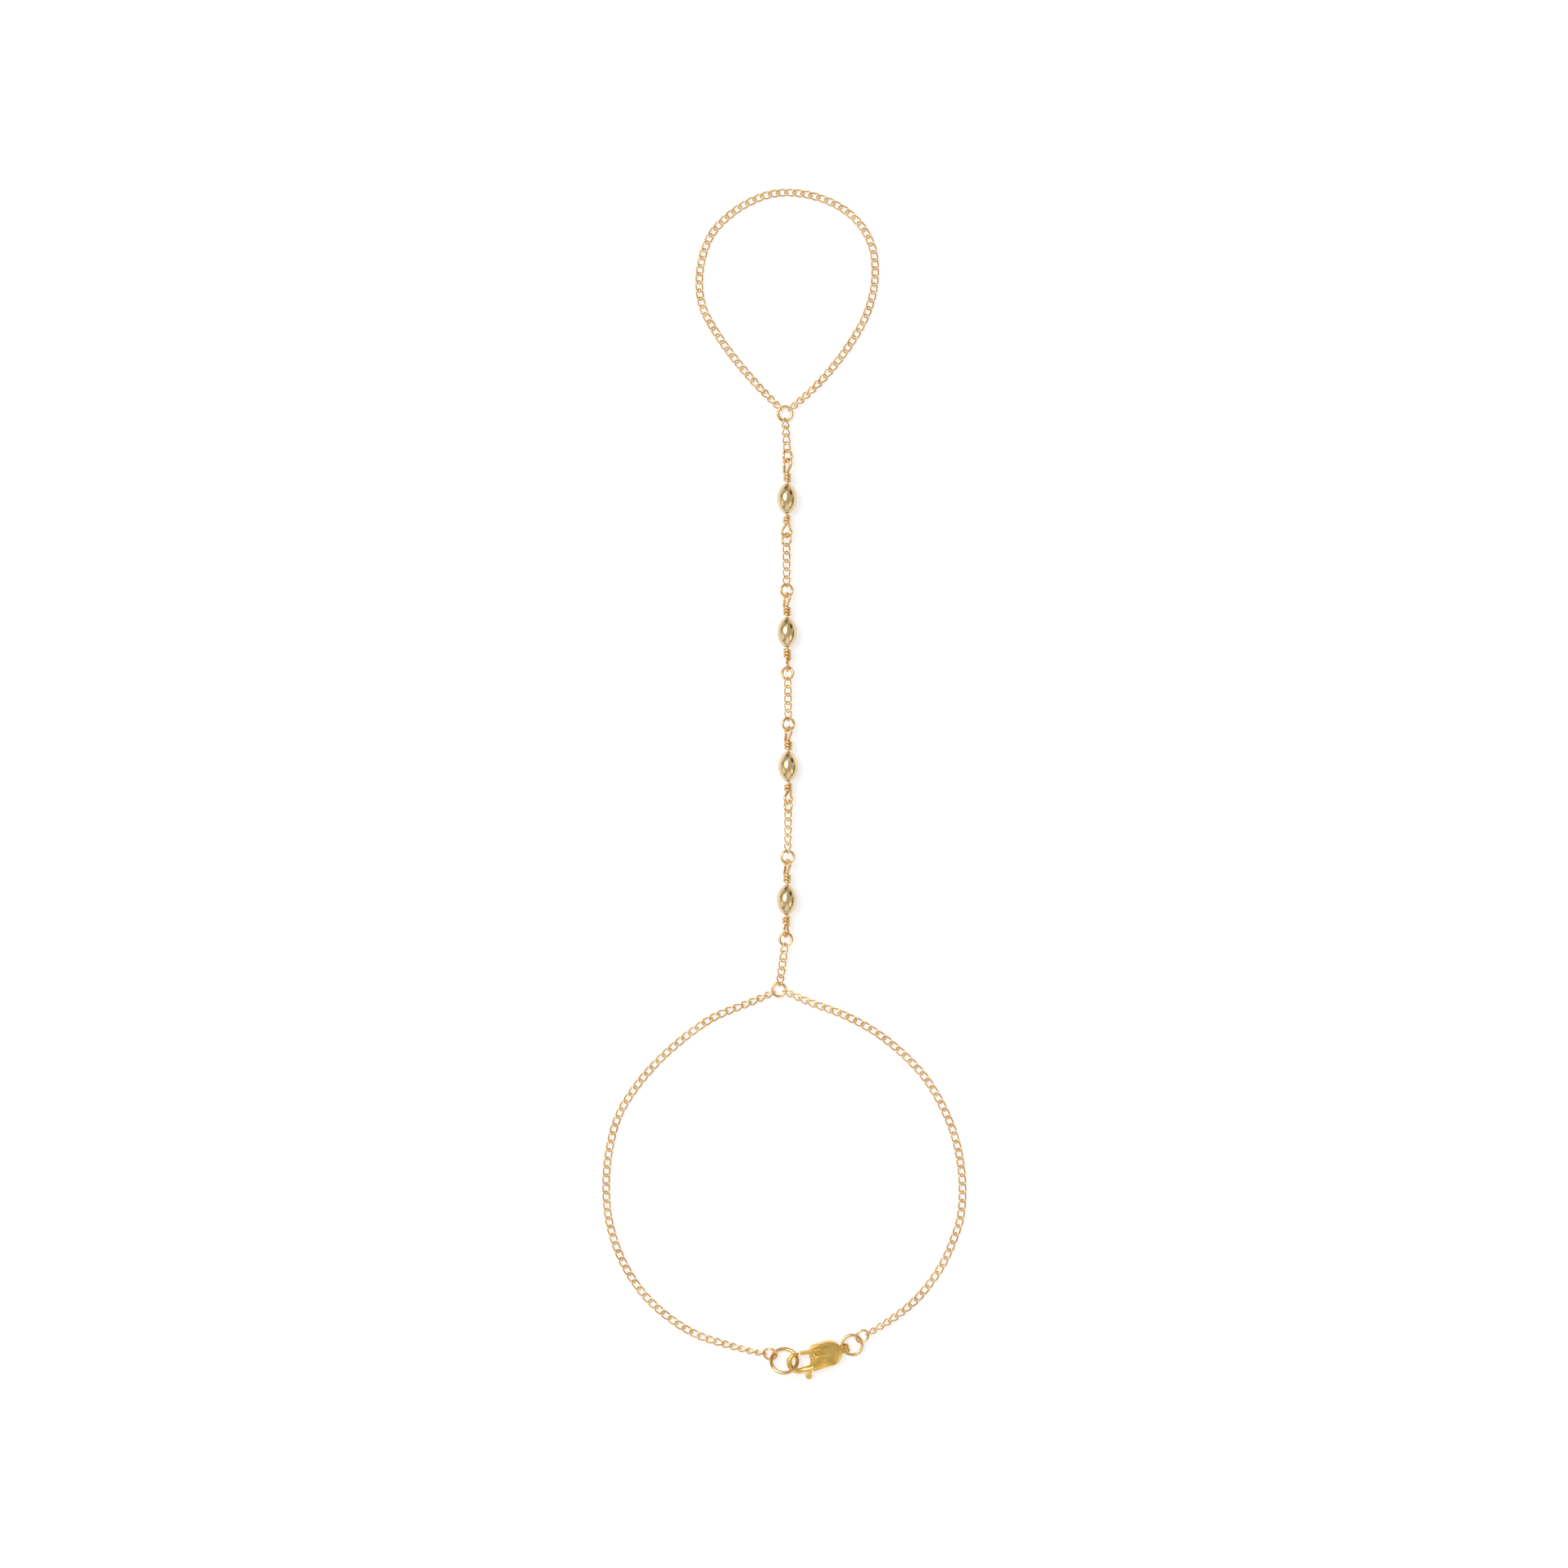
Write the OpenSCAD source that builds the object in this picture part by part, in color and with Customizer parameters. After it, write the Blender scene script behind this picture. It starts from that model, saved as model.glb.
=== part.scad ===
// A hand chain: a finger loop, a run along the back of the hand with four oval beads, and a wrist loop
// with a lobster clasp. It lies on a flat surface. X is across the hand, Y runs up to the fingers, Z is up.

/* [Chain] */
// Length of a link
link_len = 1.96; // [1.86:0.02:2.2]
// Width of a link
link_w = 1.2; // [1.15:0.05:1.4]
// Wire of a link
link_wire = 0.24; // [0.2:0.01:0.26]
// Play between two links of the wrist loop
link_play = 0.14; // [0.12:0.01:0.2]
// Play between two links of the runs along the hand
run_play = 0.21; // [0.16:0.01:0.24]
// Play between two links of the finger loop, which lies a little pushed together
finger_play = 0.22; // [0.12:0.01:0.26]

/* [Loops] */
// Width of the finger loop
finger_w = 27; // [24:0.5:34]
// Width of the wrist loop
wrist_w = 54.8; // [48:0.2:66]
// Links in the run between the finger loop and the first bead
first_links = 4; // [4:1:8]
// Links in each of the other runs along the hand
run_links = 5; // [4:1:8]
// How far a run of chain sags between two beads
run_sag = 0.45; // [0:0.05:0.5]

/* [Beads] */
// Diameter of a bead
bead_d = 3.06; // [2.8:0.02:3.6]
// Length of a bead
bead_len = 4.66; // [4.2:0.02:6]
// Radius of a bead's ends
bead_end_r = 1.05; // [0.9:0.05:1.3]
// Wall of a hollow bead
bead_wall = 0.3; // [0.2:0.05:0.4]

/* [Bead wire] */
// Wire through a bead
bead_wire_d = 0.45; // [0.35:0.01:0.5]
// Width of the eye at each end of the wire
eye_w = 1.95; // [1.8:0.05:2.4]
// Length of an eye beyond its wraps
eye_len = 2.2; // [2.1:0.05:3]
// Space between one turn of a wrap and the next
wrap_gap = 0.04; // [0.03:0.01:0.08]

/* [Rings] */
// Diameter of a ring beside a bead
bead_ring_d = 2.3; // [2.2:0.05:2.8]
// Wire of a ring beside a bead
bead_ring_wire = 0.4; // [0.3:0.02:0.44]
// Diameter of the ring below the finger loop
finger_ring_d = 2.65; // [2.5:0.05:3.2]
// Wire of the ring below the finger loop
finger_ring_wire = 0.46; // [0.36:0.02:0.48]
// Diameter of the ring above the wrist loop
wrist_ring_d = 2.45; // [2.3:0.05:3]
// Wire of the ring above the wrist loop
wrist_ring_wire = 0.4; // [0.3:0.02:0.44]
// Diameter of the small rings at the ends of the wrist loop
end_ring_d = 2.4; // [2.35:0.05:2.8]
// Wire of the small rings at the ends of the wrist loop
end_ring_wire = 0.36; // [0.3:0.02:0.38]
// Diameter of the ring that the clasp hooks into
catch_ring_d = 4.6; // [4.4:0.1:5.4]
// Wire of the ring that the clasp hooks into
catch_ring_wire = 0.6; // [0.5:0.02:0.64]
// Diameter of the ring in the clasp's eye
clasp_ring_d = 3.5; // [3.4:0.1:4.2]
// Wire of the ring in the clasp's eye
clasp_ring_wire = 0.47; // [0.4:0.01:0.49]
// Cut in the ring in the clasp's eye
clasp_ring_cut = 0.05; // [0.03:0.01:0.1]

/* [Clasp] */
// Length of the clasp's case, from its front edge to its nose
case_len = 5.1; // [4.8:0.1:6]
// Width of the case
case_w = 3.9; // [3.8:0.1:4.6]
// Thickness of the case at its middle
case_t = 1.9; // [1.8:0.1:2.4]
// Radius of the domed faces of the case
dome_r = 13; // [10:1:30]
// Radius of the rounded edges along the case and round its nose
case_edge_r = 0.5; // [0.3:0.05:0.6]
// Radius of the rounded edges of the case's front
case_front_r = 0.3; // [0.1:0.05:0.4]
// Length of the opening inside the hook
mouth_len = 2.8; // [2.7:0.1:3.4]
// Width of the opening inside the hook
mouth_w = 1.94; // [1.8:0.02:2.2]
// Width of the hook's arm
arm_w = 0.9; // [0.8:0.05:1.1]
// Width of the hook at its tip
tip_w = 0.5; // [0.4:0.05:0.7]
// Thickness of the lever
lever_t = 0.7; // [0.6:0.05:0.9]
// Width of the lever's gate
gate_w = 0.56; // [0.45:0.01:0.7]
// Diameter of the pin that the lever turns on
pin_d = 0.6; // [0.5:0.05:0.7]
// Thickness of the eye's wall
eye_wall = 0.27; // [0.2:0.01:0.4]
// Width of the eye
eye_tab_w = 1.2; // [1:0.1:1.6]

/* [Clearances] */
// Between a ring and what passes through it
ring_play = 0.1; // [0.06:0.01:0.14]
// Between a bead and its wire, and between the core of the wire and its wraps
bead_play = 0.08; // [0.04:0.01:0.12]
// Between the lever and the slot in the case
lever_play = 0.09; // [0.06:0.01:0.15]
// Between the pin and its holes
pin_play = 0.02; // [0.01:0.01:0.05]

/* [Hidden] */
$fn = 32;

// Colours
chain_gold = [0.87, 0.68, 0.33];
ring_gold = [0.9, 0.77, 0.5];
bead_gold = [0.88, 0.78, 0.58];
clasp_gold = [0.84, 0.66, 0.34];
lever_gold = [0.78, 0.6, 0.3];

// Where the wrist loop's own ring lies, with the middle of the whole object at X 0 and Y 0
wrist_ring_at = [-0.8, -31.9];

// Routes of the two loops: the finger loop clockwise from its ring, and both halves of the wrist loop from
// the wrist ring to the clasp, each measured from its ring and chosen by eye at the drawn widths
finger_drawn = 27;
wrist_drawn = 54.8;
finger_route = [[-4.2, 4.3], [-7.8, 8.5], [-10.6, 12.5], [-12.6, 16.2], [-13.2, 20.3], [-12.6, 24.5],
    [-10.9, 28.2], [-7.3, 31.5], [-2.9, 33.6], [1.5, 34], [6.5, 32.8], [10.6, 30.2], [13.2, 26.3],
    [13.9, 21.6], [13, 16.5], [10.6, 11.6], [7, 6.7], [4, 3.5]];
left_route = [[-4.7, -2.1], [-9.9, -4.2], [-14.3, -7.2], [-18.5, -10.9], [-22.1, -15.1], [-24.8, -19.7],
    [-26.2, -25.2], [-26.6, -30.5], [-26.1, -35.8], [-24.4, -41.1], [-21.6, -45.9], [-17.8, -49.8],
    [-13.1, -52.9], [-7.8, -54.7]];
right_route = [[4.9, -2], [10, -3.9], [14.8, -6.5], [19, -9.8], [22.7, -13.8], [25.5, -18.6], [27.3, -23.4],
    [28.2, -28.8], [28.1, -34.2], [27, -38.2], [24.9, -42.8], [21.6, -47.2], [18.2, -50.1]];
clasp_route_end = [5.3, -56.6];

// Directions in which the chains leave their rings
finger_left_dir = 134;
finger_right_dir = 40;
wrist_left_dir = 206;
wrist_right_dir = -20;
left_end_dir = 175;
right_end_dir = 27;

// Headings of the runs and of the beads along the hand, turned from straight down
run_turns = [3.4, 0.3, 0.9, -0.5, -7.9];
bead_turns = [-0.7, 0.6, -0.2, -1.3];

// Each bead's wire: share of the eye's length and turns of wrap at the upper and at the lower end
share_up = 0;
share_low = 1;
wraps_up = 2;
wraps_low = 3;
wire_rows = [
    [1.03, 0.98, 2.5, 2.2],
    [0.98, 0.9, 2.5, 2.6],
    [1.01, 0.9, 2.5, 2.2],
    [1.03, 0.88, 2.5, 2.2]];
// How far each ring and each eye is rolled about the line of the hand, at the upper and at the lower end
ring_up = 0;
ring_low = 1;
eye_up = 2;
eye_low = 3;
roll_rows = [
    [-50, 48, 42, -14],
    [-27, 31, 54, -85],
    [-27, 57, 55, -45],
    [-8, 0, 60, -65]];

// Sizes worked out for a link: its ends are arcs that lean out of its middle plane to both sides, and its
// straight sides climb from one to the other, so a row of links lies flat. The bends between them are
// drawn a little thinner, and the ends and the sides reach a little way over them
lean = 40;
side_rise = 0.65;
bend_reach = 0.52;
bend_draw = 0.006;
bend_seat = 0.01;
half_len = (link_len - link_wire) / 2;
half_w = (link_w - link_wire) / 2;
side_pitch = atan(side_rise);
corner_x = half_w * tan(lean) / side_rise;
corner_v = half_w / cos(lean);
side_half = half_w * tan(lean) / sin(side_pitch) - bend_reach;
end_x = (bend_reach * bend_reach - corner_x * corner_x - corner_v * corner_v + half_len * half_len)
    / (2 * (half_len - corner_x));
end_r = half_len - end_x;
corner_off = [corner_x - end_x, corner_v];
end_half_ang = atan2(corner_off[1], corner_off[0]) - acos(end_r / norm(corner_off));
end_reach = end_half_ang + bend_seat / end_r * 180 / PI;
lean_dir = [0, cos(lean), sin(lean)];
side_dir = [cos(side_pitch), 0, sin(side_pitch)];
corner_at = [corner_x, 0, 0] + corner_v * lean_dir;
bend_start = corner_at - bend_reach * side_dir;
end_start = [end_x + end_r * cos(end_half_ang), 0, 0] + end_r * sin(end_half_ang) * lean_dir;
leave_dir = unit(end_start - corner_at);
bend_ang = acos(leave_dir * side_dir);
bend_r = bend_reach / tan(bend_ang / 2);
bend_in = unit(leave_dir - (leave_dir * side_dir) * side_dir);

// Spacing and height of the links
link_step = link_len - 2 * link_wire - link_play;
run_step = link_len - 2 * link_wire - run_play;
finger_step = link_len - 2 * link_wire - finger_play;
flat_share = 0.66;
ring_lift = 0.03;
flat_z = half_w * tan(lean) * flat_share + link_wire / 2;
ring_z = link_w / 2 + ring_lift;
turning_links = 9;
curve_steps = 6;

// Distance from a ring's middle to the first link that hangs on it
function ring_mid(d, wire) = (d - wire) / 2;
function ring_to_link(d, wire) = ring_mid(d, wire) - wire / 2 - ring_play - link_wire / 2 + half_len;

function unit(v) = v / norm(v);
function toward(ang) = [cos(ang), sin(ang), 0];
function flat(p, z) = [p[0], p[1], z];
function xy(p) = [p[0], p[1]];

// A smooth curve through chosen points
function curve_at(a, b, c, d, t) = 0.5 * (2 * b + (c - a) * t + (2 * a - 5 * b + 4 * c - d) * t * t
    + (3 * b - a - 3 * c + d) * t * t * t);
function smooth(p) = concat([p[1]], [for (i = [1:len(p) - 3], k = [1:curve_steps])
    curve_at(p[i - 1], p[i], p[i + 1], p[i + 2], k / curve_steps)]);
function reach_along(p) = [for (i = 0, s = 0; i < len(p); i = i + 1,
    s = i < len(p) ? s + norm(p[i] - p[i - 1]) : s) s];
function point_at(s, reach, p) = [for (axis = [0:1])
    lookup(s, [for (i = [0:len(p) - 1]) [reach[i], p[i][axis]]])];

// Where a chain hangs on the wire of a ring whose face leans toward a direction
function on_ring(at, z, mid, lean, lean_dir, dir) = let (
    slope = -tan(lean) * cos(dir - lean_dir),
    out = mid / sqrt(1 + slope * slope))
    flat(at + out * xy(toward(dir)), z + slope * out);
function beyond(hook, wire, dir) = hook + (half_len - link_wire / 2 - ring_play - wire / 2) * toward(dir);

// Places of the links from one ring to another: [position, heading, climb, roll] for each link
function route_ends(from, from_dir, pts, to, to_dir) = let (
    first = norm(pts[0] - from),
    last = norm(pts[len(pts) - 1] - to))
    concat([from - first * from_dir, from], pts, [to, to - last * to_dir]);
function loop_links(hook0, wire0, dir0, roll0, route, hook1, wire1, dir1, roll1, step) = let (
    from = beyond(hook0, wire0, dir0),
    to = beyond(hook1, wire1, dir1),
    p = smooth(route_ends(xy(from), xy(toward(dir0)), route, xy(to), xy(toward(dir1)))),
    reach = reach_along(p),
    whole = reach[len(reach) - 1],
    n = ceil(whole / step),
    near0 = [for (i = [0:n]) max(0, 1 - i / turning_links)],
    near1 = [for (i = [0:n]) max(0, 1 - (n - i) / turning_links)])
    link_places([for (i = [0:n]) flat(point_at(whole * i / n, reach, p),
        flat_z + near0[i] * (from[2] - flat_z) + near1[i] * (to[2] - flat_z))],
        [for (i = [0:n]) near1[i] * roll1 - near0[i] * roll0], hook0, hook1);
function link_places(pos, rolls, hook0, hook1) = let (n = len(pos) - 1) [for (i = [0:n]) let (
    before = i == 0 ? 2 * hook0 - pos[0] : pos[i - 1],
    after = i == n ? 2 * hook1 - pos[n] : pos[i + 1],
    way = after - before)
    [pos[i], atan2(way[1], way[0]), atan2(way[2], norm(xy(way))), rolls[i]]];

// A straight run of links along the hand between two rings, sagging between beads or climbing to one
function run_height(t, z0, z1) = z0 + (z1 - z0) * (1 - cos(180 * t)) / 2
    - (z0 == z1 ? run_sag * (1 - cos(360 * t)) / 2 : 0);
function run_reaches(n, from_ring, to_ring) = [for (i = [0:n + 1])
    i == 0 ? 0 : from_ring + (i - 1) * run_step + (i == n + 1 ? to_ring - run_step : 0)];
function run_flat(n, from_ring, to_ring, z0, z1) = let (
    s = run_reaches(n, from_ring, to_ring),
    z = [for (i = [0:n + 1]) run_height(s[i] / s[n + 1], z0, z1)])
    [for (i = 0, x = 0; i <= n + 1; i = i + 1,
        x = i <= n + 1 ? x + sqrt(pow(s[i] - s[i - 1], 2) - pow(z[i] - z[i - 1], 2)) : x) [x, z[i]]];

// Places along the hand, each measured down from the finger ring
bead_z = bead_d / 2;
bead_link = ring_to_link(bead_ring_d, bead_ring_wire);
bead_ring_mid = ring_mid(bead_ring_d, bead_ring_wire);
counts = [first_links, run_links, run_links, run_links, run_links];
run_from = [ring_to_link(finger_ring_d, finger_ring_wire), bead_link, bead_link, bead_link, bead_link];
run_to = [bead_link, bead_link, bead_link, bead_link, ring_to_link(wrist_ring_d, wrist_ring_wire)];
run_z0 = [ring_z, bead_z, bead_z, bead_z, bead_z];
run_z1 = [bead_z, bead_z, bead_z, bead_z, ring_z];
runs = [for (k = [0:4]) run_flat(counts[k], run_from[k], run_to[k], run_z0[k], run_z1[k])];
run_span = [for (r = runs) r[len(r) - 1][0]];

wrap_r = bead_wire_d + bead_play / 2;
wrap_pitch = bead_wire_d + wrap_gap;
function wraps_end(turns) = bead_len / 2 + bead_play + turns * wrap_pitch + bead_wire_d;
function eye_end(k, share, turns) = wraps_end(wire_rows[k][turns]) + eye_len * wire_rows[k][share];
function to_ring(k, share, turns) = eye_end(k, share, turns) - bead_wire_d - ring_play - bead_ring_wire / 2
    + bead_ring_mid;
up_span = [for (k = [0:3]) to_ring(k, share_up, wraps_up)];
low_span = [for (k = [0:3]) to_ring(k, share_low, wraps_low)];

run_head = [for (a = run_turns) a - 90];
bead_head = [for (a = bead_turns) a - 90];
hand_steps = concat(
    [for (k = [0:3]) each [run_span[k] * toward(run_head[k]),
        up_span[k] * toward(bead_head[k]), low_span[k] * toward(bead_head[k])]],
    [run_span[4] * toward(run_head[4])]);
hand_down = [for (i = 0, p = [0, 0, 0]; i <= len(hand_steps); i = i + 1,
    p = i <= len(hand_steps) ? p + hand_steps[i - 1] : p) p];
finger_ring_at = flat(wrist_ring_at, 0) - hand_down[len(hand_steps)];
ring_up_at = [for (k = [0:3]) finger_ring_at + hand_down[3 * k + 1]];
bead_at = [for (k = [0:3]) finger_ring_at + hand_down[3 * k + 2]];
ring_low_at = [for (k = [0:3]) finger_ring_at + hand_down[3 * k + 3]];
run_start = concat([finger_ring_at], ring_low_at);

// A run's first link stands across the ring above it and its last one across the ring below it
across_ring = 90 - lean;
ease_first = 8;
ease_last = 20;
roll_from = [ease_first - across_ring, for (k = [0:2]) roll_rows[k][ring_low] - across_ring,
    roll_rows[3][ring_low] - across_ring + ease_last];
roll_to = [roll_rows[0][ring_up] + across_ring - ease_first,
    for (k = [1:3]) roll_rows[k][ring_up] + across_ring, across_ring - ease_last];
hook_from = [for (k = [0:4]) k == 0 ? ring_mid(finger_ring_d, finger_ring_wire) : bead_ring_mid];
hook_to = [for (k = [0:4]) k == 4 ? ring_mid(wrist_ring_d, wrist_ring_wire) : bead_ring_mid];
function run_links_at(k) = let (n = counts[k], r = runs[k], way = toward(run_turns[k] - 90))
    link_places([for (i = [1:n]) flat(run_start[k] + r[i][0] * way, r[i][1])],
        [for (i = [0:n - 1]) roll_from[k] + (roll_to[k] - roll_from[k]) * i / (n - 1)],
        flat(run_start[k] + hook_from[k] * way, run_z0[k]),
        flat(run_start[k] + (run_span[k] - hook_to[k]) * way, run_z1[k]));

module ring(d, wire) rotate_extrude() translate([ring_mid(d, wire), 0]) circle(d = wire);
module arc_wire(r, ang, d) rotate_extrude(angle = ang) translate([r, 0]) circle(d = d);
module placed(at, heading, climb, roll)
    translate(at) rotate([0, 0, heading]) rotate([0, -climb, 0]) rotate([roll, 0, 0]) children();

// One link of the chain
function axes(e1, e2, o) = let (e3 = cross(e1, e2)) [
    [e1[0], e2[0], e3[0], o[0]],
    [e1[1], e2[1], e3[1], o[1]],
    [e1[2], e2[2], e3[2], o[2]],
    [0, 0, 0, 1]];
module link_bend() multmatrix(axes(-bend_in, side_dir, bend_start + bend_r * bend_in))
    arc_wire(bend_r, bend_ang, link_wire - bend_draw);
module half_link() {
    rotate([lean, 0, 0]) translate([end_x, 0, 0]) rotate(-end_reach)
        arc_wire(end_r, 2 * end_reach, link_wire);
    translate([0, half_w, 0]) rotate([0, 90 - side_pitch, 0])
        cylinder(d = link_wire, h = 2 * (side_half + bend_seat), center = true);
    link_bend();
    rotate([180, 0, 0]) link_bend();
}
module link() {
    half_link();
    rotate([0, 0, 180]) half_link();
}
module links(places) color(chain_gold) for (p = places) placed(p[0], p[1], p[2], p[3]) link();

// A closed skin over rings of points, from the first ring to the last
module skin(rings) {
    n = len(rings);
    m = len(rings[0]);
    walls = [for (i = [0:n - 2], k = [0:m - 1]) let (a = i * m + k, b = i * m + (k + 1) % m)
        each [[a, b, b + m], [a, b + m, a + m]]];
    ends = [[for (k = [m - 1:-1:0]) k], [for (k = [0:m - 1]) (n - 1) * m + k]];
    polyhedron([for (r = rings) each r], concat(walls, ends));
}
// The rings of points round a bent wire, carried along it without a twist
wire_sides = 8;
function way_at(p, i) = unit(p[min(i + 1, len(p) - 1)] - p[max(i - 1, 0)]);
function wire_rings(p, d) = let (
    ways = [for (i = [0:len(p) - 1]) way_at(p, i)],
    ups = [for (i = 0, u = [0, 0, 1]; i < len(p); i = i + 1,
        u = i < len(p) ? unit(u - (u * ways[i]) * ways[i]) : u) u])
    [for (i = [0:len(p) - 1]) [for (k = [0:wire_sides - 1]) let (a = -360 * k / wire_sides)
        p[i] + d / 2 * (cos(a) * ups[i] + sin(a) * cross(ways[i], ups[i]))]];

// The finger loop, and the rings
flat_roll = 55;
function flat_hook(at, d, wire, dir) = on_ring(at, ring_z, ring_mid(d, wire), 0, 0, dir);
finger_left_hook = flat_hook(finger_ring_at, finger_ring_d, finger_ring_wire, finger_left_dir);
finger_right_hook = flat_hook(finger_ring_at, finger_ring_d, finger_ring_wire, finger_right_dir);
finger_points = [for (p = finger_route) xy(finger_ring_at) + p * finger_w / finger_drawn];
finger_links = loop_links(finger_left_hook, finger_ring_wire, finger_left_dir, flat_roll, finger_points,
    finger_right_hook, finger_ring_wire, finger_right_dir, flat_roll, finger_step);
module finger_chain() links(finger_links);
module finger_ring() color(ring_gold) translate(flat(finger_ring_at, ring_z))
    ring(finger_ring_d, finger_ring_wire);
module hand_chain(k) links(run_links_at(k));
module bead_ring(at, turn, roll) color(ring_gold) placed(flat(at, bead_z), turn - 90, 0, roll)
    ring(bead_ring_d, bead_ring_wire);
module wrist_ring() color(ring_gold) translate(flat(wrist_ring_at, ring_z))
    ring(wrist_ring_d, wrist_ring_wire);

// A hollow bead, drilled for its wire: its outline has arcs at its ends and flatter arcs along its sides
bead_mid = bead_len / 2 - bead_end_r;
bead_side_r = (bead_d * bead_d / 4 + bead_mid * bead_mid - bead_end_r * bead_end_r)
    / (bead_d - 2 * bead_end_r);
bead_join = bead_mid * bead_side_r / (bead_side_r - bead_end_r);
bead_hole_d = bead_wire_d + 2 * bead_play;
module bead_half_outline(inset) {
    intersection() {
        translate([bead_d / 2 - bead_side_r, 0]) circle(r = bead_side_r - inset, $fn = 128);
        translate([0, -bead_join]) square([bead_d, 2 * bead_join]);
    }
    for (end = [-1, 1]) intersection() {
        translate([0, end * bead_mid]) circle(r = bead_end_r - inset, $fn = 64);
        translate([0, end > 0 ? bead_join : -bead_join - bead_end_r]) square([bead_end_r, bead_end_r]);
    }
}
module bead(k) color(bead_gold) translate(flat(bead_at[k], bead_z)) rotate([0, 90, bead_turns[k] - 90])
    difference() {
        rotate_extrude() bead_half_outline(0);
        rotate_extrude() bead_half_outline(bead_wall);
        cylinder(d = bead_hole_d, h = 2 * bead_len, center = true);
    }

// The wire of a bead: straight through it, round an eye at each end and back in close turns to the bead
wrap_steps = 10;
eye_steps = 14;
wrap_start = 65;
neck_from = 0.8;
neck_to = 0.2;
function end_path(outer_end, foot, roll, turns) = let (
    r = (eye_w - bead_wire_d) / 2,
    mid = outer_end - bead_wire_d / 2 - r,
    open = acos(r / (mid - foot)),
    side = [0, cos(roll), sin(roll)],
    over = [0, -sin(roll), cos(roll)],
    eye = [for (i = [0:eye_steps]) let (a = 180 + open + i * (360 - 2 * open) / eye_steps)
        [mid + r * cos(a), 0, 0] + r * sin(a) * side],
    wraps = [for (i = [0:turns * wrap_steps]) let (a = wrap_start + 360 * i / wrap_steps)
        [foot - bead_wire_d / 2 - wrap_pitch * i / wrap_steps, 0, 0]
            + wrap_r * (cos(a) * side + sin(a) * over)],
    out = smooth([[foot - neck_from, 0, 0], [foot - neck_to, 0, 0], eye[0], eye[1]]),
    back = smooth([eye[eye_steps - 1], eye[eye_steps], wraps[0], wraps[1]]))
    concat(out, [for (i = [1:eye_steps - 1]) eye[i]], back, [for (i = [1:len(wraps) - 1]) wraps[i]]);
function wire_end(k, share, turns, roll) = end_path(eye_end(k, share, turns), wraps_end(wire_rows[k][turns]),
    roll, wire_rows[k][turns]);
module bead_wire(k) color(ring_gold) translate(flat(bead_at[k], bead_z)) rotate([0, 0, bead_turns[k] - 90]) {
    low = wire_end(k, share_low, wraps_low, roll_rows[k][eye_low]);
    up = [for (p = wire_end(k, share_up, wraps_up, -roll_rows[k][eye_up])) [-p[0], -p[1], p[2]]];
    skin(wire_rings(concat([for (i = [len(up) - 1:-1:0]) up[i]], low), bead_wire_d));
}

// The clasp, in its own frame: X along it from the hook to the eye, Y toward the gate, Z through it
clasp_turn = 16.5;
clasp_tail_down = 3.8;
clasp_roll = 6;
clasp_z = 1.18;
case_front = -0.55;
nose_x = case_front + case_len;
case_end_x = nose_x - case_w / 2;
case_mid_x = (nose_x + case_front) / 2;
mouth_y = 0.1;
shoulder_back = 0.8;
shoulder_bend = [0.25, 1.2];
mouth_r = mouth_w / 2;
hook_mid = [case_front - mouth_len + mouth_r, mouth_y];
pivot = [0.3, 0.45];
lever_open = 30;
arm_h = 0.78;
root_h = 1.45;
tip_h = 0.6;
slot_t = lever_t + 2 * lever_play;
hook_sides = 18;

// Sections round the hook from its tip to its root: the angle, and the shares of the arm's width and height
hook_ang = 0;
hook_wide = 1;
hook_high = 2;
hook_rows = [
    [70, 0, 0],
    [85, 0.12, 0.1],
    [100, 0.3, 0.3],
    [115, 0.5, 0.5],
    [130, 0.7, 0.75],
    [145, 0.85, 0.9],
    [160, 0.95, 1],
    [175, 1, 1],
    [190, 1, 1],
    [205, 1, 1],
    [220, 1, 1],
    [235, 1, 1],
    [250, 1, 1],
    [265, 1, 1]];
// Sections along the hook's root: the shares of the way to the case and of the growth in height
root_way = 0;
root_high = 1;
root_rows = [[0.2, 0.05], [0.45, 0.35], [0.7, 0.75], [1, 1], [1.4, 1]];
function oval(mid, out, w, h) = [for (k = [0:hook_sides - 1]) let (a = 360 * (k + 0.5) / hook_sides)
    flat(mid, 0) + w / 2 * cos(a) * out + [0, 0, h / 2 * sin(a)]];
hook_rings = concat(
    [for (r = hook_rows) let (
        w = tip_w + (arm_w - tip_w) * r[hook_wide],
        out = toward(r[hook_ang]))
        oval(hook_mid + (mouth_r + w / 2) * xy(out), out, w, tip_h + (arm_h - tip_h) * r[hook_high])],
    [for (r = root_rows) let (h = arm_h + (root_h - arm_h) * r[root_high])
        oval(hook_mid + [r[root_way] * (mouth_len - mouth_r), -mouth_r - arm_w / 2], [0, -1, 0], arm_w, h)]);

// The lever's outline: gate, boss, stem and thumb tab, all turning about the pivot
gate_reach = 0.62;
gate_in_case = [0.35, 1.05];
boss_wall = 0.3;
gate_end = hook_mid + [gate_reach, mouth_r + tip_w / 2];
gate_root = [case_front, 0] + gate_in_case;
boss_r = pin_d / 2 + boss_wall;
thumb = [-1.45, -2.45];
thumb_r = 0.5;
stem_w = 0.6;
module bar(a, b, w) translate(a) rotate(atan2(b[1] - a[1], b[0] - a[0])) translate([0, -w / 2])
    square([norm(b - a), w]);
module lever_outline(grow) {
    bar(gate_end, gate_root, gate_w + 2 * grow);
    translate(gate_root) circle(d = gate_w + 2 * grow);
    bar(gate_root, pivot, gate_w + 2 * grow);
    translate(pivot) circle(r = boss_r + grow);
    bar(pivot, thumb, stem_w + 2 * grow);
    translate(thumb) circle(r = thumb_r + grow);
}
module turned(ang) translate(pivot) rotate(ang) translate(-pivot) children();
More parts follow.
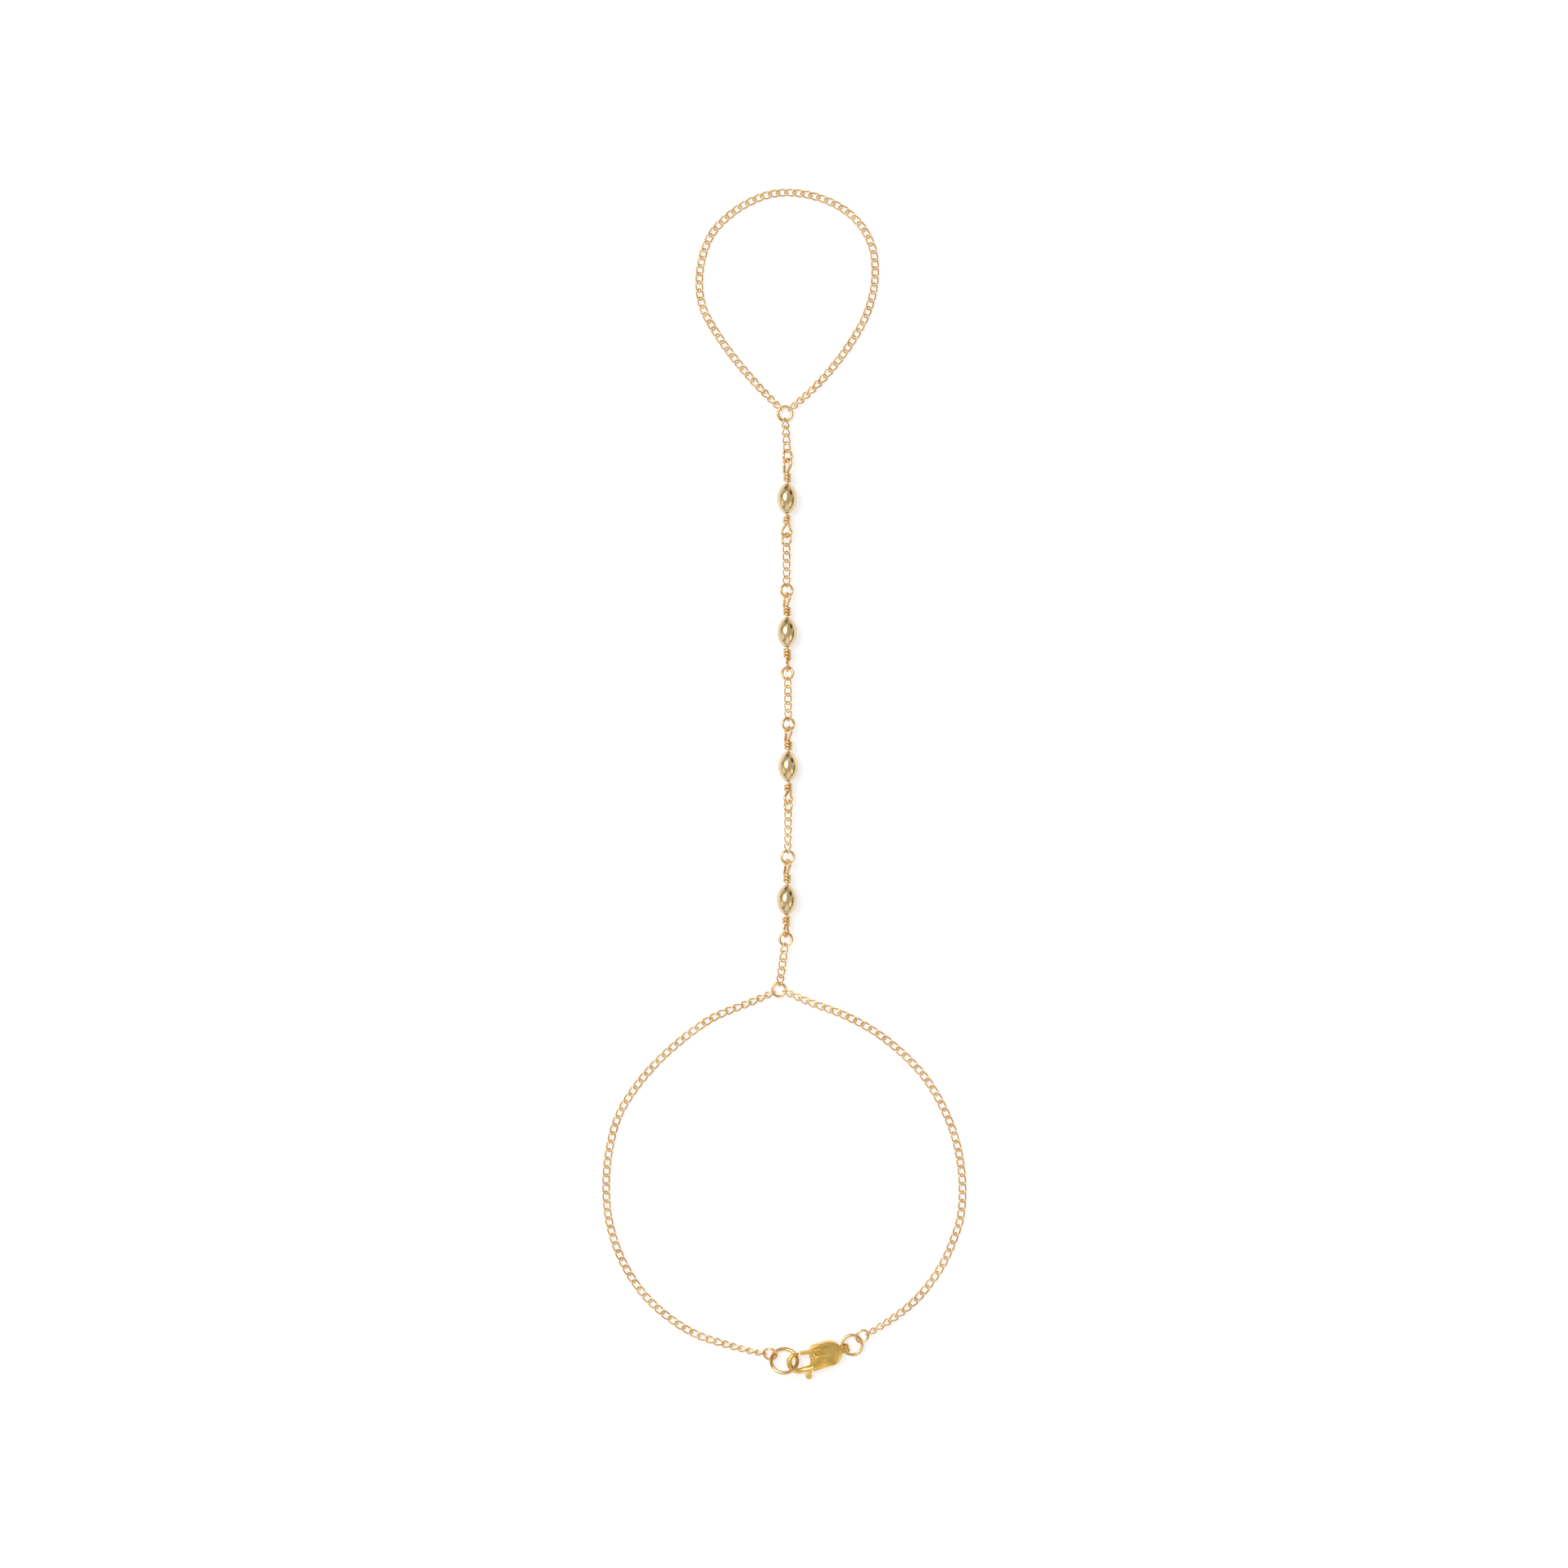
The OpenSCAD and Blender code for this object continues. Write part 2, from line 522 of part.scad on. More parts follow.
module clasp_frame() placed(clasp_at, clasp_turn, -clasp_tail_down, clasp_roll) children();
module pin_bore(play) translate(flat(pivot, 0)) cylinder(d = pin_d + 2 * play, h = 2 * case_t, center = true);

// The case is a rounded bar that ends in half a rounded disc. Its faces are domed, its front edges are
// rounded, and a cut from its front to its upper side makes room for the gate
module rounded_box(w, h, r) {
    square([w - 2 * r, h], center = true);
    square([w, h - 2 * r], center = true);
    for (x = [-1, 1], y = [-1, 1]) translate([x * (w / 2 - r), y * (h / 2 - r)]) circle(r = r);
}
module case_section() rounded_box(case_w, case_t, case_edge_r);
front_slope = shoulder_bend - [0, mouth_y];
module case_shape() intersection() {
    union() {
        translate([case_front, 0, 0]) rotate([90, 0, 90]) linear_extrude(case_end_x - case_front)
            case_section();
        translate([case_end_x, 0, 0]) rotate(-90) rotate_extrude(angle = 180) intersection() {
            case_section();
            translate([0, -case_t / 2]) square([case_w / 2, case_t]);
        }
    }
    linear_extrude(2 * case_t, center = true) polygon([
        [case_front, mouth_y] - case_w * front_slope, [case_front, 0] + shoulder_bend,
        [case_front + shoulder_back, case_w / 2], [case_front + shoulder_back, case_w],
        [2 * nose_x, case_w], [2 * nose_x, mouth_y - case_w * front_slope[1]]]);
    translate([case_front + case_len, 0, 0]) across(2 * case_w)
        rounded_box(2 * case_len, case_t, case_front_r);
    translate([case_mid_x, 0, case_t / 2 - dome_r]) sphere(r = dome_r, $fn = 128);
    translate([case_mid_x, 0, dome_r - case_t / 2]) sphere(r = dome_r, $fn = 128);
}
eye_slack = 0.03;
eye_back = 0.2;
eye_slot = 0.4;
eye_bore_r = clasp_ring_wire / 2 + ring_play + eye_slack;
eye_inner_x = nose_x + eye_back;
eye_outer_x = eye_inner_x + eye_slot;
module eye_outline(r) {
    translate([eye_inner_x, 0]) circle(r = r);
    translate([eye_outer_x, 0]) circle(r = r);
    translate([eye_inner_x, -r]) square([eye_outer_x - eye_inner_x, 2 * r]);
}
module across(w) rotate([90, 0, 0]) linear_extrude(w, center = true) children();
module slot() linear_extrude(slot_t, center = true) {
    for (ang = [0, lever_open / 2, lever_open]) turned(ang) lever_outline(lever_play);
}
module clasp_body() color(clasp_gold) clasp_frame() difference() {
    union() {
        case_shape();
        skin(hook_rings);
        across(eye_tab_w) eye_outline(eye_bore_r + eye_wall);
    }
    across(case_w) eye_outline(eye_bore_r);
    slot();
    pin_bore(pin_play);
}
module clasp_lever() color(lever_gold) clasp_frame() difference() {
    linear_extrude(lever_t, center = true) lever_outline(0);
    pin_bore(pin_play);
}
pin_below = 0.25;
module clasp_pin() color(clasp_gold) clasp_frame() translate(flat(pivot, 0))
    cylinder(d = pin_d, h = case_t - 2 * pin_below, center = true);

// How the clasp's rings lie: the catch ring slants from under the hook's tip to over its arm, which holds
// the hook up, and the small rings at the ends of the chain stand aslant in the rings that they link to
catch_mid = ring_mid(catch_ring_d, catch_ring_wire);
catch_tilt = 31.5;
catch_z = catch_mid * sin(catch_tilt) + catch_ring_wire / 2;
catch_in_clasp = [-4.4, 0.85];
clasp_at = flat(wrist_ring_at + clasp_route_end * wrist_w / wrist_drawn, clasp_z);
function turn_xy(p, a) = [p[0] * cos(a) - p[1] * sin(a), p[0] * sin(a) + p[1] * cos(a)];
catch_at = xy(clasp_at) + turn_xy(catch_in_clasp, clasp_turn);
module catch_ring() color(ring_gold) translate(flat(catch_at, catch_z)) rotate([-catch_tilt, 0, 0])
    ring(catch_ring_d, catch_ring_wire);

end_mid = ring_mid(end_ring_d, end_ring_wire);
left_link_dir = 153;
left_lean = 32;
left_lean_dir = 250;
left_reach = end_mid - end_ring_wire / 2 - ring_play - catch_ring_wire / 2;
left_from_catch = [catch_mid * cos(left_link_dir), catch_mid * sin(left_link_dir) * cos(catch_tilt)];
end_left_at = catch_at + left_from_catch + left_reach * xy(toward(left_link_dir));
end_left_z = catch_z - catch_mid * sin(left_link_dir) * sin(catch_tilt);
module end_ring_left() color(ring_gold) translate(flat(end_left_at, end_left_z))
    rotate([0, 0, left_lean_dir]) rotate([0, left_lean, 0]) ring(end_ring_d, end_ring_wire);

clasp_ring_mid = ring_mid(clasp_ring_d, clasp_ring_wire);
clasp_ring_swing = 8;
clasp_ring_in = 0.07;
cut_dir = -100;
floor_gap = 0.01;
clasp_ring_at = xy(clasp_at) + turn_xy([eye_inner_x + clasp_ring_in, 0], clasp_turn)
    + clasp_ring_mid * xy(toward(clasp_turn + clasp_ring_swing));
right_link_dir = 40;
right_lean = 42;
clasp_ring_z = end_mid * sin(right_lean) + end_ring_wire / 2 + floor_gap;
right_lean_dir = 130;
right_reach = clasp_ring_mid + end_mid - end_ring_wire / 2 - ring_play - clasp_ring_wire / 2;
end_right_at = clasp_ring_at + right_reach * xy(toward(right_link_dir));
end_right_z = clasp_ring_z;
clasp_ring_cut_ang = clasp_ring_cut / clasp_ring_mid * 180 / PI;
module clasp_ring() color(ring_gold) translate(flat(clasp_ring_at, clasp_ring_z)) rotate(cut_dir)
    arc_wire(clasp_ring_mid, 360 - clasp_ring_cut_ang, clasp_ring_wire);
module end_ring_right() color(ring_gold) translate(flat(end_right_at, end_right_z))
    rotate([0, 0, right_lean_dir]) rotate([0, right_lean, 0]) ring(end_ring_d, end_ring_wire);

// The two halves of the wrist loop
function wrist_points(route) = [for (p = route) wrist_ring_at + p * wrist_w / wrist_drawn];
left_roll = 65;
right_roll = 70;
left_links = loop_links(flat_hook(wrist_ring_at, wrist_ring_d, wrist_ring_wire, wrist_left_dir),
    wrist_ring_wire, wrist_left_dir, flat_roll, wrist_points(left_route),
    on_ring(end_left_at, end_left_z, end_mid, left_lean, left_lean_dir, left_end_dir),
    end_ring_wire, left_end_dir, left_roll, link_step);
right_links = loop_links(flat_hook(wrist_ring_at, wrist_ring_d, wrist_ring_wire, wrist_right_dir),
    wrist_ring_wire, wrist_right_dir, flat_roll, wrist_points(right_route),
    on_ring(end_right_at, end_right_z, end_mid, right_lean, right_lean_dir, right_end_dir),
    end_ring_wire, right_end_dir, right_roll, link_step);
module wrist_chain_left() links(left_links);
module wrist_chain_right() links(right_links);

finger_chain();
finger_ring();
hand_chain(0);  // hand_chain_1
hand_chain(1);  // hand_chain_2
hand_chain(2);  // hand_chain_3
hand_chain(3);  // hand_chain_4
hand_chain(4);  // hand_chain_5
bead_ring(ring_up_at[0], bead_turns[0], roll_rows[0][ring_up]);  // bead_ring_1a
bead_ring(ring_low_at[0], bead_turns[0], roll_rows[0][ring_low]);  // bead_ring_1b
bead_ring(ring_up_at[1], bead_turns[1], roll_rows[1][ring_up]);  // bead_ring_2a
bead_ring(ring_low_at[1], bead_turns[1], roll_rows[1][ring_low]);  // bead_ring_2b
bead_ring(ring_up_at[2], bead_turns[2], roll_rows[2][ring_up]);  // bead_ring_3a
bead_ring(ring_low_at[2], bead_turns[2], roll_rows[2][ring_low]);  // bead_ring_3b
bead_ring(ring_up_at[3], bead_turns[3], roll_rows[3][ring_up]);  // bead_ring_4a
bead_ring(ring_low_at[3], bead_turns[3], roll_rows[3][ring_low]);  // bead_ring_4b
bead(0);  // bead_1
bead(1);  // bead_2
bead(2);  // bead_3
bead(3);  // bead_4
bead_wire(0);  // bead_wire_1
bead_wire(1);  // bead_wire_2
bead_wire(2);  // bead_wire_3
bead_wire(3);  // bead_wire_4
wrist_ring();
wrist_chain_left();
wrist_chain_right();
end_ring_left();
end_ring_right();
catch_ring();
clasp_ring();
clasp_body();
clasp_lever();
clasp_pin();
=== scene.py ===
import math

import bmesh
import bpy
import numpy as np
from mathutils import Matrix, Vector


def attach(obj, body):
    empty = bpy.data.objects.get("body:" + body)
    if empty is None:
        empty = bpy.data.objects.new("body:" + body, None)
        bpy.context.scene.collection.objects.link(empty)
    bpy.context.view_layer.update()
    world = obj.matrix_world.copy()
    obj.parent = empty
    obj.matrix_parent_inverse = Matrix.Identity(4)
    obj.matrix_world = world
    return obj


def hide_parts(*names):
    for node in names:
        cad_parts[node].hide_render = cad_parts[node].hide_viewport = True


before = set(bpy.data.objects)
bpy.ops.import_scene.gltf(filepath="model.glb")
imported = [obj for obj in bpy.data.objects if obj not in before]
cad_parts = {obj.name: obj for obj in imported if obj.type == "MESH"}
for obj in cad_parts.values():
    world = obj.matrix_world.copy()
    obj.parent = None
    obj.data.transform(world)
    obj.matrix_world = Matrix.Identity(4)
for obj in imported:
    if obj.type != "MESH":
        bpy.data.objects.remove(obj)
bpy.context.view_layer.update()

mm = 0.001
mergeWithin = 0.00002 * mm  # corners of the frame's loose triangles this near are one

# Every piece but the lever rides on the bracelet itself
mainBody = "bracelet"
leverBody = "clasp_lever"


class Val:
    # One socket, so that maths on it can be written as Python
    def __init__(self, graph, socket):
        self.graph = graph
        self.socket = socket

    def maths(self, operation, *others):
        return self.graph.maths(operation, self, *others)

    def __add__(self, other):
        return self.maths("ADD", other)

    def __radd__(self, other):
        return self.graph.maths("ADD", other, self)

    def __sub__(self, other):
        return self.maths("SUBTRACT", other)

    def __rsub__(self, other):
        return self.graph.maths("SUBTRACT", other, self)

    def __mul__(self, other):
        return self.maths("MULTIPLY", other)

    def __rmul__(self, other):
        return self.graph.maths("MULTIPLY", other, self)


class Graph:
    # A node tree of any kind, filled in by one method
    def __init__(self, tree):
        self.tree = tree

    def add(self, kind, settings=None, values=None, out=0):
        node = self.tree.nodes.new(kind)
        for name, value in (settings or {}).items():
            setattr(node, name, value)
        for key, value in (values or {}).items():
            if isinstance(value, Val):
                self.tree.links.new(value.socket, node.inputs[key])
            else:
                node.inputs[key].default_value = value
        return Val(self, node.outputs[out]) if node.outputs else node

    def maths(self, operation, *values):
        return self.add("ShaderNodeMath", {"operation": operation}, dict(enumerate(values)))

    def vector(self, operation, a, b=None, out=0):
        values = {0: a} if b is None else {0: a, 1: b}
        return self.add("ShaderNodeVectorMath", {"operation": operation}, values, out)

    def smooth(self, value, low, high):  # 0 below low, 1 above high, eased between
        values = {"Value": value, "From Min": low, "From Max": high}
        return self.add("ShaderNodeMapRange", {"interpolation_type": "SMOOTHSTEP"}, values)

    def mixColour(self, factor, a, b):
        return self.add("ShaderNodeMix", {"data_type": "RGBA"}, {0: factor, 6: a, 7: b}, 2)

    def noise(self, vector, scale, detail=2.0, roughness=0.5):
        values = {"Vector": vector, "Scale": scale, "Detail": detail, "Roughness": roughness}
        return self.add("ShaderNodeTexNoise", None, values)


# The camera looks straight down, as the photograph does
cameraSetup = {"frameWidth": 241.0 * mm, "lens": 100.0, "sensor": 36.0, "nearest": 10 * mm,
               "aimHeight": 1.5 * mm, "aimY": -0.24 * mm}


def makeCamera():
    lens = bpy.data.cameras.new("camera")
    lens.lens = cameraSetup["lens"]
    lens.sensor_width = cameraSetup["sensor"]
    lens.clip_start = cameraSetup["nearest"]
    camera = bpy.data.objects.new("camera", lens)
    bpy.context.scene.collection.objects.link(camera)
    away = cameraSetup["frameWidth"] * cameraSetup["lens"] / cameraSetup["sensor"]
    camera.location = (0, cameraSetup["aimY"], away + cameraSetup["aimHeight"])
    bpy.context.scene.camera = camera


# The studio's dome: how bright it is, and between which heights it fades from the horizon's light to
# the zenith's. Soft boxes add light and dark cards take it away, each [direction, half angle, edge,
# strength]. Dark rods are [from, to, half width, edge, strength]. Angles are in degrees
studio = {
    "horizon": 0.66,
    "zenith": 0.56,
    "below": 1.0,
    "fade": (0.05, 0.9),
    "floorLine": 0.02,
    "boxes": [
        [(-0.40, 0.20, 0.89), 13.0, 12.0, 2.6],
        [(-0.10, 0.62, 0.78), 8.0, 8.0, 0.5],
        [(0.02, -0.62, 0.60), 20.0, 9.0, 0.42],
        [(-0.80, -0.35, 0.45), 10.0, 8.0, 0.5],
    ],
    "cards": [
        [(0.70, 0.56, 0.45), 9.0, 9.0, 0.85],
        [(-0.15, 0.95, 0.20), 12.0, 14.0, 0.6],
        [(-0.93, 0.26, 0.25), 5.0, 5.0, 0.6],
        [(0.98, -0.05, 0.20), 9.0, 8.0, 0.5],
        [(0.90, -0.35, 0.25), 9.0, 8.0, 0.4],
        [(0.0, 0.03, 1.0), 2.5, 1.5, 0.6],
    ],
    "rods": [
        [(0.353, 0.747, 0.56), (-0.93, 0.264, 0.245), 1.2, 1.8, 0.55],
        [(0.04, -0.42, 0.90), (-0.735, -0.669, 0.101), 1.8, 4.0, 0.5],
        [(0.22, -0.40, 0.89), (0.71, -0.68, 0.11), 1.8, 4.0, 0.5],
    ],
    "warmth": (1.0, 0.95, 0.82, 1.0),
    "coolness": (1.0, 0.97, 0.90, 1.0),
    "shade": (1.0, 0.72, 0.46, 1.0),
}


def makeWorld():
    world = bpy.data.worlds.new("studio")
    bpy.context.scene.world = world
    world.use_nodes = True
    world.node_tree.nodes.clear()
    g = Graph(world.node_tree)
    way = g.vector("NORMALIZE", g.add("ShaderNodeTexCoord", out="Generated"))
    height = g.add("ShaderNodeSeparateXYZ", None, {0: way}, "Z")
    climb = studio["zenith"] - studio["horizon"]
    light = studio["horizon"] + g.smooth(height, *studio["fade"]) * climb
    for at, wide, edge, strength in studio["boxes"]:
        light = light + spot(g, way, at, wide, edge) * strength
    unshaded = 1.0
    for at, wide, edge, dark in studio["cards"]:
        unshaded = unshaded * (1 - spot(g, way, at, wide, edge) * dark)
    for start, end, wide, edge, dark in studio["rods"]:
        unshaded = unshaded * (1 - rod(g, way, Vector(start), Vector(end), wide, edge) * dark)
    up = g.smooth(height, -studio["floorLine"], studio["floorLine"])
    light = light * unshaded * up + studio["below"] * (1 - up)
    colour = g.mixColour(g.smooth(height, 0.0, 1.0), studio["coolness"], studio["warmth"])
    colour = g.mixColour(unshaded, studio["shade"], colour)  # the dark parts of the room are warm
    back = g.add("ShaderNodeBackground", None, {"Color": colour, "Strength": light})
    g.add("ShaderNodeOutputWorld", None, {"Surface": back})


def spot(g, way, at, wide, edge):  # 1 inside a round patch of the dome, 0 outside it
    near = g.vector("DOT_PRODUCT", way, tuple(Vector(at).normalized()), "Value")
    return g.smooth(near, math.cos(math.radians(wide + edge)), math.cos(math.radians(wide)))


def rod(g, way, start, end, wide, edge):  # 1 along an arc of the dome between two directions
    across = g.vector("DOT_PRODUCT", way, tuple(start.cross(end).normalized()), "Value")
    off = across.maths("ABSOLUTE")
    middle = start.normalized() + end.normalized()
    half = math.degrees(start.angle(end)) / 2
    along = spot(g, way, middle, half, edge)
    inner, outer = math.sin(math.radians(wide)), math.sin(math.radians(wide + edge))
    return (1 - g.smooth(off, inner, outer)) * along


# A key light from the upper left gives the small wires their glints
keyLight = {"at": (-0.28, 0.20, 0.60), "size": 0.26, "power": 0.85}
fillLight = {"at": (0.42, -0.30, 0.40), "size": 0.30, "power": 0.2}


def makeLight(name, setup):
    light = bpy.data.lights.new(name, "AREA")
    light.size = setup["size"]
    light.energy = setup["power"]
    lamp = bpy.data.objects.new(name, light)
    bpy.context.scene.collection.objects.link(lamp)
    lamp.location = setup["at"]
    lamp.rotation_euler = (-Vector(setup["at"])).to_track_quat("-Z", "Y").to_euler()


# A sheet of pale paper that glows a little, as a lit table does
floorSetup = {"width": 3.0, "below": 0.02 * mm, "colour": (0.46, 0.48, 0.53, 1.0), "rough": 0.9,
              "shine": 0.1, "glowColour": (0.96, 0.96, 0.96, 1.0), "glow": 0.62}


def makeFloor():
    half = floorSetup["width"] / 2
    mesh = bpy.data.meshes.new("floor")
    corners = [(-half, -half), (half, -half), (half, half), (-half, half)]
    mesh.from_pydata([(x, y, -floorSetup["below"]) for x, y in corners], [], [(0, 1, 2, 3)])
    floor = bpy.data.objects.new("floor", mesh)
    bpy.context.scene.collection.objects.link(floor)
    paper = bpy.data.materials.new("paper")
    paper.use_nodes = True
    paper.node_tree.nodes.clear()
    g = Graph(paper.node_tree)
    shader = g.add("ShaderNodeBsdfPrincipled", None, {
        "Base Color": floorSetup["colour"], "Roughness": floorSetup["rough"],
        "Specular IOR Level": floorSetup["shine"],
        "Emission Color": floorSetup["glowColour"], "Emission Strength": floorSetup["glow"]})
    g.add("ShaderNodeOutputMaterial", None, {"Surface": shader})
    mesh.materials.append(paper)


# Gold finishes: two tones of the plating, how rough it is, and how much each kind of wear adds to it
chainGold = {"name": "chainGold", "pale": (0.90, 0.66, 0.34, 1), "deep": (0.72, 0.44, 0.14, 1),
             "rough": 0.12, "smudge": 0.10, "dents": 0.05, "scratches": 0.03, "grain": 0.0,
             "tint": "linkTone", "marked": False}
ringGold = {"name": "ringGold", "pale": (0.88, 0.65, 0.39, 1), "deep": (0.72, 0.45, 0.18, 1),
            "rough": 0.11, "smudge": 0.09, "dents": 0.05, "scratches": 0.03, "grain": 0.0,
            "tint": None, "marked": False}
wireGold = dict(ringGold, name="wireGold", rough=0.15, dents=0.08)
beadGold = {"name": "beadGold", "pale": (0.80, 0.645, 0.41, 1), "deep": (0.74, 0.57, 0.33, 1),
            "rough": 0.07, "smudge": 0.07, "dents": 0.06, "scratches": 0.025, "grain": 0.0,
            "tint": None, "marked": False}
claspGold = {"name": "claspGold", "pale": (0.90, 0.64, 0.22, 1), "deep": (0.78, 0.50, 0.13, 1),
             "rough": 0.19, "smudge": 0.06, "dents": 0.03, "scratches": 0.03, "grain": 0.01,
             "tint": None, "marked": True}
leverGold = dict(claspGold, name="leverGold", rough=0.36, grain=0.22, dents=0.1, marked=False)

# What all golds share. The first row counts features for each metre
goldDetail = {"plating": 420, "film": 1500, "scratch": 26000, "grain": 16000, "dent": 1300,
              "streakTurn": (0.2, 0.1, 0.6), "streakStretch": (1.0, 0.06, 0.4), "scratchDepth": 0.15,
              "grainHeight": 0.25, "tintShare": 0.45, "filmShare": 0.25, "bump": 0.6,
              "bumpHeight": 0.12 * mm}

# Two marks run along the clasp's case: a raised crease, and a groove with painted shade in it. Each is
# measured in the clasp's own frame: how far across it lies at the hinge, how much it slants, its half
# width, where it starts and ends, how high it stands and how dark it is (the painted shade)
claspFrame = {"at": (4.5 * mm, -88.5 * mm, 1.18 * mm), "turn": math.radians(16.5), "wave": 0.14 * mm,
              "waves": 900}
caseMarks = [
    {"across": 0.15 * mm, "slant": -0.12, "half": 0.10 * mm, "from": -0.3 * mm, "to": 3.2 * mm,
     "high": 0.2, "dark": 0.0},
    {"across": 1.24 * mm, "slant": -0.04, "half": 0.13 * mm, "from": 0.3 * mm, "to": 3.1 * mm,
     "high": -0.2, "dark": 0.65},
]
# The dark brown painted into the groove along the case: painted shade
paintedShadeBrown = (0.30, 0.15, 0.03, 1)


def makeGold(look):
    material = bpy.data.materials.new(look["name"])
    material.use_nodes = True
    material.node_tree.nodes.clear()
    g = Graph(material.node_tree)
    at = g.add("ShaderNodeTexCoord", out="Object")
    d = goldDetail
    tone = g.smooth(g.noise(at, d["plating"], 3.0, 0.6), 0.32, 0.68)  # thicker plating in some places
    if look["tint"]:
        tint = g.add("ShaderNodeAttribute", {"attribute_name": look["tint"]}, None, "Fac")
        tone = tone * (1 - d["tintShare"]) + tint * d["tintShare"]
    film = g.smooth(g.noise(at, d["film"]), 0.45, 0.75)  # a faint film from handling
    colour = g.mixColour(tone, look["deep"], look["pale"])
    colour = g.mixColour(film * d["filmShare"], colour, look["deep"])
    streaks = g.add("ShaderNodeMapping", None, {
        "Vector": at, "Rotation": d["streakTurn"], "Scale": d["streakStretch"]})
    scratches = g.smooth(g.noise(streaks, d["scratch"], 2.0, 0.7), 0.56, 0.80)
    rough = look["rough"] + film * look["smudge"] + scratches * look["scratches"]
    grain = g.noise(at, d["grain"], 3.0, 0.65)
    rough = rough + g.smooth(grain, 0.4, 0.7) * look["grain"]
    height = g.noise(at, d["dent"]) * look["dents"]  # soft dents left by the polishing wheel
    height = height - scratches * (d["scratchDepth"] * look["scratches"])
    height = height + grain * (d["grainHeight"] * look["grain"])
    if look["marked"]:
        marks, dark = markTheCase(g, at)
        height = height + marks
        # the groove along the case is painted dark brown: painted shade
        colour = g.mixColour(dark, colour, paintedShadeBrown)
    bump = g.add("ShaderNodeBump", None, {
        "Strength": d["bump"], "Distance": d["bumpHeight"], "Height": height})
    shader = g.add("ShaderNodeBsdfPrincipled", None, {
        "Base Color": colour, "Metallic": 1.0, "Roughness": rough, "Normal": bump})
    g.add("ShaderNodeOutputMaterial", None, {"Surface": shader})
    return material


def markTheCase(g, at):  # a raised crease, and a groove along the case darkened with painted shade
    turnBack = Matrix.Rotation(-claspFrame["turn"], 3, "Z")
    shift = turnBack @ Vector(claspFrame["at"])
    local = g.add("ShaderNodeMapping", None, {
        "Vector": at, "Location": tuple(-shift), "Rotation": (0.0, 0.0, -claspFrame["turn"])})
    along = g.add("ShaderNodeSeparateXYZ", None, {0: local}, "X")
    across = g.add("ShaderNodeSeparateXYZ", None, {0: local}, "Y")
    across = across + (g.noise(local, claspFrame["waves"]) - 0.5) * claspFrame["wave"]
    height, dark = 0.0, 0.0
    for mark in caseMarks:
        off = (across - along * mark["slant"] - mark["across"]).maths("ABSOLUTE")
        ease = 2 * mark["half"]
        near = 1 - g.smooth(off, 0.0, mark["half"])
        near = near * g.smooth(along, mark["from"], mark["from"] + ease)
        near = near * (1 - g.smooth(along, mark["to"] - ease, mark["to"]))
        height = near * mark["high"] + height
        dark = near * mark["dark"] + dark
    return height, dark


# Where the frame's solids lie
def mergedCopy(node):  # a copy of a node's triangles, joined at their corners
    bm = bmesh.new()
    bm.from_mesh(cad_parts[node].data)
    bmesh.ops.remove_doubles(bm, verts=bm.verts, dist=mergeWithin)
    return bm


def looseParts(node):  # the corners of the triangles of each of a node's solids
    bm = mergedCopy(node)
    parts = []
    seen = set()
    for first in bm.faces:  # in the mesh's own order, so that every run draws the same tones
        if first in seen:
            continue
        seen.add(first)
        found = [first]
        for face in found:
            for edge in face.edges:
                for other in edge.link_faces:
                    if other not in seen:
                        seen.add(other)
                        found.append(other)
        parts.append(np.array([[v.co[:] for v in face.verts] for face in found]))
    bm.free()
    return parts


def middleAndAxes(triangles):  # middle of a surface and its axes, the longest way first
    a, b, c = triangles[:, 0], triangles[:, 1], triangles[:, 2]
    area = np.linalg.norm(np.cross(b - a, c - a), axis=1)
    total = a + b + c
    middle = (total * area[:, None]).sum(0) / (3 * area.sum())
    spread = np.zeros((3, 3))
    for corner, count in ((a, 1), (b, 1), (c, 1), (total, 3)):
        shifted = corner - count * middle
        spread += np.einsum("n,ni,nj->ij", area, shifted, shifted)
    axes = np.linalg.eigh(spread)[1][:, ::-1]
    if np.linalg.det(axes) < 0:
        axes[:, 2] *= -1
    return Vector(middle), Matrix(axes.tolist()).to_quaternion()


def placesOf(node):
    return [middleAndAxes(part) for part in looseParts(node)]


def pointsMesh(name, places):  # one point for each solid, with its turn
    mesh = bpy.data.meshes.new(name)
    mesh.from_pydata([tuple(at) for at, turn in places], [], [])
    turns = mesh.attributes.new("turn", "QUATERNION", "POINT")
    for i, (at, turn) in enumerate(places):
        turns.data[i].value = turn
    return mesh


# Geometry Nodes
def newTree(name, inputs):
    tree = bpy.data.node_groups.new(name, "GeometryNodeTree")
    face = tree.interface
    face.new_socket("Geometry", in_out="INPUT", socket_type="NodeSocketGeometry")
    for label, kind in inputs.items():
        face.new_socket(label, in_out="INPUT", socket_type=kind)
    face.new_socket("Geometry", in_out="OUTPUT", socket_type="NodeSocketGeometry")
    given = tree.nodes.new("NodeGroupInput")
    g = Graph(tree)
    return g, {label: Val(g, given.outputs[label]) for label in ["Geometry", *inputs]}


def placeAndFinish(g, given, shape, seed):  # one shape on every point, each with its own tone
    turn = g.add("GeometryNodeInputNamedAttribute", {"data_type": "QUATERNION"}, {"Name": "turn"})
    copies = g.add("GeometryNodeInstanceOnPoints", None, {
        "Points": given["Geometry"], "Instance": shape, "Rotation": turn})
    tone = g.add("FunctionNodeRandomValue", {"data_type": "FLOAT"}, {"Seed": seed}, 1)
    toned = g.add("GeometryNodeStoreNamedAttribute", {"data_type": "FLOAT", "domain": "INSTANCE"}, {
        "Geometry": copies, "Name": "linkTone", "Value": tone})
    real = g.add("GeometryNodeRealizeInstances", None, {"Geometry": toned})
    smooth = g.add("GeometryNodeSetShadeSmooth", None, {"Geometry": real})
    done = g.add("GeometryNodeSetMaterial", None, {"Geometry": smooth, "Material": given["Gold"]})
    g.add("NodeGroupOutput", None, {"Geometry": done})
    return g.tree


